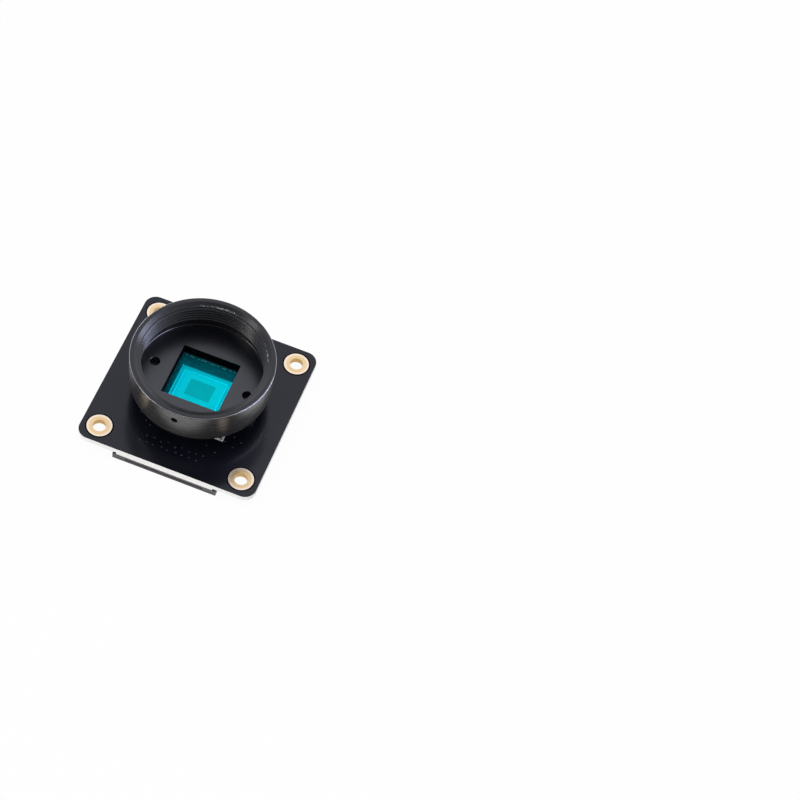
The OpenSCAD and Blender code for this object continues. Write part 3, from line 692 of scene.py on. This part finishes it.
make_bond_wires()
make_seal_beads()
make_glue_drops()
make_window_wall_shade()


# ------------------------------------------------------------------ solder, tracks and print below

SUNK_Z = UNDER_Z + 0.01 * MM    # what lies on the underside reaches this far into the board
INK_Z = UNDER_Z - 0.02 * MM     # face of the print


def fillet(form, low, high, rise, spread):
    """A pool of solder round the foot of a part: a flat land, then a hollow slope up its sides."""
    land, land_t, foot_t, steps = 1.35 * spread, 0.025 * MM, 0.035 * MM, 4
    inside = 0.01 * MM    # how far the top of the slope reaches into the part
    loops = [block_loop(low, high, land, z) for z in (SUNK_Z, UNDER_Z - land_t)]
    for k in range(steps + 1):
        share = k / steps
        loops.append(block_loop(low, high, spread * (1 - share) ** 2 - inside * share,
                                UNDER_Z - foot_t - (rise - foot_t) * share))
    form.stack([loop[::-1] for loop in loops])


def leg_foot(low, high, bodies):
    """The flat end of a bent leg: its half that is away from the chip body beside it."""
    middle = (low + high) / 2
    body = min(bodies, key=lambda box: ((box[0] + box[1]) / 2 - middle).length)
    away = middle - (body[0] + body[1]) / 2
    length = 0.5 * MM
    low, high = low.copy(), high.copy()
    axis = 0 if high.x - low.x > high.y - low.y else 1
    if away[axis] > 0:
        low[axis] = high[axis] - length
    else:
        high[axis] = low[axis] + length
    return low, high


def make_solder():
    """Solder round the feet of the parts on the underside."""
    form = Form()
    for low, high in islands("part_end_caps"):
        fillet(form, low, high, 0.55 * (high.z - low.z), 0.16 * MM)
    bodies = islands("memory_chip") + islands("voltage_regulators")
    for low, high in islands("chip_legs"):
        fillet(form, *leg_foot(low, high, bodies), 0.14 * MM, 0.14 * MM)
    tail = 0.75 * MM    # soldered end of a contact
    for low, high in CONTACTS:
        fillet(form, Vector((low.x, high.y - tail, low.z)), high, 0.13 * MM, 0.13 * MM)
    for low, high in islands("connector_tabs"):
        fillet(form, low, high, 0.16 * MM, 0.22 * MM)
    for low, high in islands("inductor_bases"):
        fillet(form, low, high, 0.35 * (high.z - low.z), 0.25 * MM)
    clock_low, clock_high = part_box("clock_oscillator")
    foot_w, foot_d = 0.45 * MM, 0.40 * MM
    for x in (clock_low.x, clock_high.x - foot_w):
        for y in (clock_low.y, clock_high.y - foot_d):
            fillet(form, (x, y), (x + foot_w, y + foot_d), 0.25 * MM, 0.2 * MM)
    form.make("solder_joints", MATERIALS["connector_tabs"])


def track(form, points, width=0.2 * MM, height=0.03 * MM):
    """A copper track under the mask that follows these points across the underside."""
    path = [Vector((*point, 0.0)) for point in points]
    half = width / 2
    sides = ([], [])
    for i, here in enumerate(path):
        before = (here - path[i - 1]).normalized() if i else (path[1] - here).normalized()
        after = (path[i + 1] - here).normalized() if i + 1 < len(path) else before
        along = (before + after).normalized()
        across = Vector((-along.y, along.x, 0.0)) / max(along.dot(after), 0.5)
        sides[0].append(here - across * half)
        sides[1].append(here + across * half)
    shoulder_z, top_z = UNDER_Z - 0.4 * height, UNDER_Z - height
    sections = []
    for left, right in zip(*sides):
        inset = (right - left) * 0.15
        outline = ((left, SUNK_Z), (left, shoulder_z), (left + inset, top_z),
                   (right - inset, top_z), (right, shoulder_z), (right, SUNK_Z))
        sections.append([(at.x, at.y, z) for at, z in outline])
    form.stack(sections)


def jog(start, end, bend):
    """Points of a track along Y that shifts sideways at 45 degrees, from the bend on."""
    shift = end[0] - start[0]
    rise = math.copysign(abs(shift), end[1] - start[1])
    if abs(shift) < 0.01 * MM:
        return [start, end]
    return [start, (start[0], bend), (end[0], bend + rise), end]


def make_tracks():
    """Tracks from the cable contacts through the front row of resistors to the processor, where
    they arrive in three groups, and short ones that leave the other contacts sideways."""
    first, clear = 2, 0.35 * MM    # first contact that has a resistor, and room for its solder
    pitch, group_pitch, stagger = 0.36 * MM, 2.0 * MM, 0.45 * MM
    processor_y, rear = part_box("image_processor")[0].y, CONTACTS[0][1].y
    resistors = [box for box in islands("resistors") if box[1].y < 0]
    resistors.sort(key=lambda box: box[0].x)
    middle = (len(resistors) - 1) / 2
    form = Form()
    for i, (low, high) in enumerate(resistors):
        x = (low.x + high.x) / 2
        near, far = low.y - clear, high.y + clear
        track(form, jog((CONTACT_X[first + i], rear), (x, near), rear + 0.25 * MM))
        group = round(i / middle - 1.0)
        target = group_pitch * group + pitch * (i - middle - 3 * group)
        bend = far + 0.3 * MM + stagger * (middle - abs(i - middle))
        track(form, jog((x, far), (target, processor_y), bend))
    for i, x in enumerate(CONTACT_X):
        if i < first or i >= first + len(resistors):
            side = -1 if i < len(CONTACT_X) // 2 else 1
            end = (x + side * (0.9 + 0.35 * (i % 3)) * MM, rear + 2.3 * MM)
            track(form, jog((x, rear), end, rear + 0.3 * MM), 0.24 * MM)
    form.make("underside_tracks", COVERED_COPPER, smooth=False)


# Corners printed round the parts: node, distance from the part in mm, length in mm
PRINTED = (("image_processor", 0.30, 0.7), ("memory_chip", 0.15, 0.7), ("power_inductors", 0.45, 1.1),
           ("clock_oscillator", 0.45, 1.1), ("voltage_regulators", 0.12, 0.35))


def printed_corners(form, low, high, away, length, line=0.15 * MM):
    """The four corners of a thin printed frame round a part."""
    x0, y0, x1, y1 = low.x - away, low.y - away, high.x + away, high.y + away
    half = line / 2
    bars = []
    for y in (y0, y1):
        for a, b in ((x0, x0 + length), (x1 - length, x1)):
            bars.append((a - half, y - half, b + half, y + half))
    for x in (x0, x1):
        for a, b in ((y0, y0 + length), (y1 - length, y1)):
            bars.append((x - half, a + half, x + half, b - half))
    for a, b, c, d in bars:
        form.stack([[(a, d, z), (c, d, z), (c, b, z), (a, b, z)] for z in (SUNK_Z, INK_Z)])


def make_print():
    """Printed corners round the larger parts, and a dot by one corner of the two chips."""
    form = Form()
    for name, away, length in PRINTED:
        for low, high in islands(name):
            printed_corners(form, low, high, away * MM, length * MM)
    processor_low, processor_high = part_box("image_processor")
    memory_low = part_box("memory_chip")[0]
    for x, y in ((processor_low.x, processor_high.y), (memory_low.x, memory_low.y)):
        form.stack([circle(x - 0.65 * MM, y + 0.55 * MM, z, 0.16 * MM)[::-1]
                    for z in (SUNK_Z, INK_Z)])
    form.make("underside_print", MATERIALS["printed_outline"], smooth=False)


def make_test_points():
    """Round bare pads beside the processor, for probes."""
    form = Form()
    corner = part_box("image_processor")[0]
    x, first_y, pitch, radius = corner.x - 4.6 * MM, corner.y - 1.2 * MM, 1.5 * MM, 0.45 * MM
    outline = ((radius, SUNK_Z), (radius, INK_Z), (radius - 0.05 * MM, INK_Z - 0.01 * MM))
    for i in range(5):
        form.stack([circle(x, first_y - i * pitch, z, r, 24)[::-1] for r, z in outline])
    form.make("test_points", MATERIALS["fixing_hole_pads"], smooth=False)


make_vias("via_bumps_under", UNDER_Z, -1)
make_solder()
make_tracks()
make_print()
make_test_points()


# ------------------------------------------------------------------ camera, floor and lights

# The camera of the photograph, solved from the board's edges, the pads and the barrel's outline.
# It aims at the middle of the picture, to the right of the module.
AIM = Vector((37.87 * MM, 15.89 * MM, TOP_Z))
CAMERA_AZIMUTH = math.radians(9.006)
CAMERA_ELEVATION = math.radians(55.492)
CAMERA_ROLL = math.radians(13.02)
CAMERA_DISTANCE = 484.4 * MM
LENS, SENSOR = 106.27, 36.0    # in millimetres


def direction(azimuth, elevation):
    """Unit vector towards a place seen at that azimuth, which is turned from -Y towards +X."""
    return Vector((math.sin(azimuth) * math.cos(elevation),
                   -math.cos(azimuth) * math.cos(elevation), math.sin(elevation)))


def make_camera():
    data = bpy.data.cameras.new("camera")
    data.lens, data.sensor_width = LENS, SENSOR
    data.clip_start, data.clip_end = 0.01, 20.0
    camera = bpy.data.objects.new("camera", data)
    bpy.context.scene.collection.objects.link(camera)
    back = direction(CAMERA_AZIMUTH, CAMERA_ELEVATION)
    camera.location = AIM + back * CAMERA_DISTANCE
    camera.rotation_mode = "QUATERNION"
    camera.rotation_quaternion = ((-back).to_track_quat("-Z", "Y")
                                  @ Quaternion((0.0, 0.0, 1.0), CAMERA_ROLL))
    bpy.context.scene.camera = camera


def make_lamp(name, azimuth, elevation, width, height, brightness, colour, distance=0.8,
              shine=True, light=True):
    """A soft box that faces the module, placed by its angles in degrees. Its brightness is what a
    mirror would show of it. Without shine it only lights matt surfaces, and without light it
    only shows in glossy ones."""
    data = bpy.data.lights.new(name, "AREA")
    data.shape, data.size, data.size_y = "RECTANGLE", width, height
    data.energy, data.color = brightness * math.pi * width * height, colour
    lamp = bpy.data.objects.new(name, data)
    bpy.context.scene.collection.objects.link(lamp)
    back = direction(math.radians(azimuth), math.radians(elevation))
    lamp.location = back * distance
    lamp.visible_glossy, lamp.visible_diffuse = shine, light
    lamp.rotation_mode = "QUATERNION"
    lamp.rotation_quaternion = (-back).to_track_quat("-Z", "Y")


def make_floor():
    """Pale table, white to the eye, that keeps the module's soft shadow and can be seen
    through from below."""
    half = 1.5
    glow_for_light, glow_for_eye = 0.45, 0.96    # how much of the table is plain white glow
    mesh = bpy.data.meshes.new("floor")
    mesh.from_pydata(rectangle(half, half, FLOOR_Z), [], [(0, 1, 2, 3)])
    floor = bpy.data.objects.new("floor", mesh)
    bpy.context.scene.collection.objects.link(floor)
    t = Tree("floor")
    path = t.add("LightPath").outputs
    seen = t.math("ADD", t.plus(path["Is Camera Ray"], path["Is Glossy Ray"]),
                  path["Is Transmission Ray"], clamp=True)
    lit = t.add("BsdfDiffuse", {"Color": (0.86, 0.86, 0.86, 1.0)}).outputs[0]
    glow = t.add("Emission", {"Color": (1.0, 1.0, 1.0, 1.0), "Strength": 1.0}).outputs[0]
    open_side = t.add("BsdfTransparent").outputs[0]
    top = t.mix_shaders(t.remap(seen, 0.0, 1.0, glow_for_light, glow_for_eye), lit, glow)
    below = t.add("NewGeometry").outputs["Backfacing"]
    dress(floor, t.show(t.mix_shaders(below, top, open_side)))


def make_world():
    """White to the eye. What shines in the module's surfaces is darker in front than behind."""
    t = Tree("world", world=True)
    path = t.add("LightPath").outputs
    depth = t.split(t.add("TexCoord").outputs["Generated"])[1]
    studio = t.blend(t.remap(depth, -0.7, 0.5, 0.0, 1.0), (0.14, 0.15, 0.18), (0.98, 1.0, 1.12))
    fill = t.add("Background", {"Color": (0.97, 0.98, 1.0, 1.0), "Strength": 0.50}).outputs[0]
    shine = t.add("Background", {"Color": studio, "Strength": 1.0}).outputs[0]
    white = t.add("Background", {"Color": (1.0, 1.0, 1.0, 1.0), "Strength": 1.0}).outputs[0]
    lighting = t.mix_shaders(path["Is Glossy Ray"], fill, shine)
    bpy.context.scene.world = t.show(t.mix_shaders(path["Is Camera Ray"], lighting, white))


make_camera()
make_floor()
make_world()
make_lamp("left_box", -57.0, 39.0, 0.25, 0.37, 5.0, (1.0, 0.99, 0.97))
make_lamp("right_box", 102.0, 25.0, 0.80, 0.58, 6.6, (0.62, 0.69, 1.0), light=False)
make_lamp("top_box", 0.0, 88.0, 0.45, 0.45, 3.6, (1.0, 1.0, 1.0), shine=False)
make_lamp("low_front_box", 0.0, 10.0, 0.70, 0.18, 2.5, (1.0, 1.0, 1.0))
bpy.context.scene.view_settings.view_transform = "Standard"
